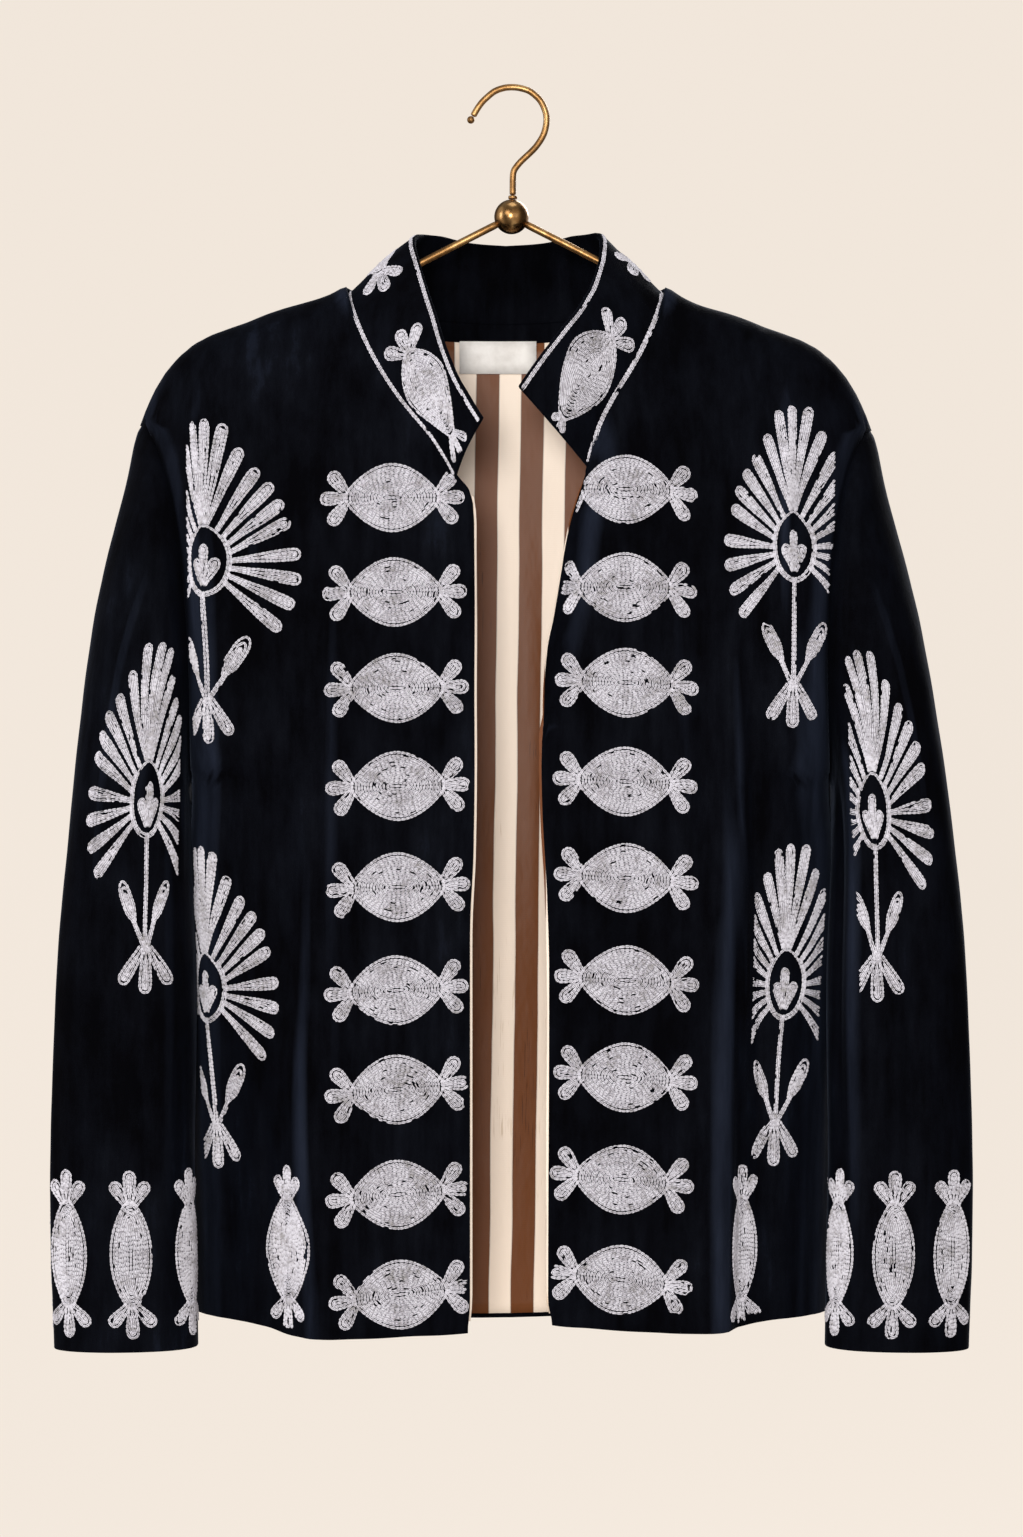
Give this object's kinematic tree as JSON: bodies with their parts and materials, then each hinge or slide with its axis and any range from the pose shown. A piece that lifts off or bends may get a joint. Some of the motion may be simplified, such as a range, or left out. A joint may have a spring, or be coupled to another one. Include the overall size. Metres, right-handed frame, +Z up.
{
  "type": "embroidered velvet jacket on a hanger",
  "caption": "Open-front velvet jacket with a stand collar, long sleeves, chain-stitch embroidery and a striped satin lining, hung on a brass hanger.",
  "frame": {"origin": "where the hanger is held, on the underside of the hook's crown", "axes": "+Z up, the jacket's front faces -Y and its right-hand side, as worn, is at -X"},
  "size_m": [0.5672, 0.1231, 0.778],
  "materials": {
    "velvet": "near-black navy cotton velvet pile",
    "lining": "satin with brown and cream stripes",
    "thread": "lavender-grey cotton chain stitch",
    "label": "plain woven tape",
    "brass": "aged satin brass"
  },
  "bodies": {
    "root": {"front_right": "velvet", "front_left": "velvet", "back": "velvet", "sleeve_right": "velvet", "sleeve_left": "velvet", "collar": "velvet", "lining_front_right": "lining", "lining_front_left": "lining", "lining_back": "lining", "label": "label", "hanger_hook": "brass", "hanger_bead": "brass", "hanger_ball": "brass", "hanger_ferrule": "brass", "hanger_arm_right": "brass", "hanger_arm_left": "brass"}
  },
  "joints": []
}
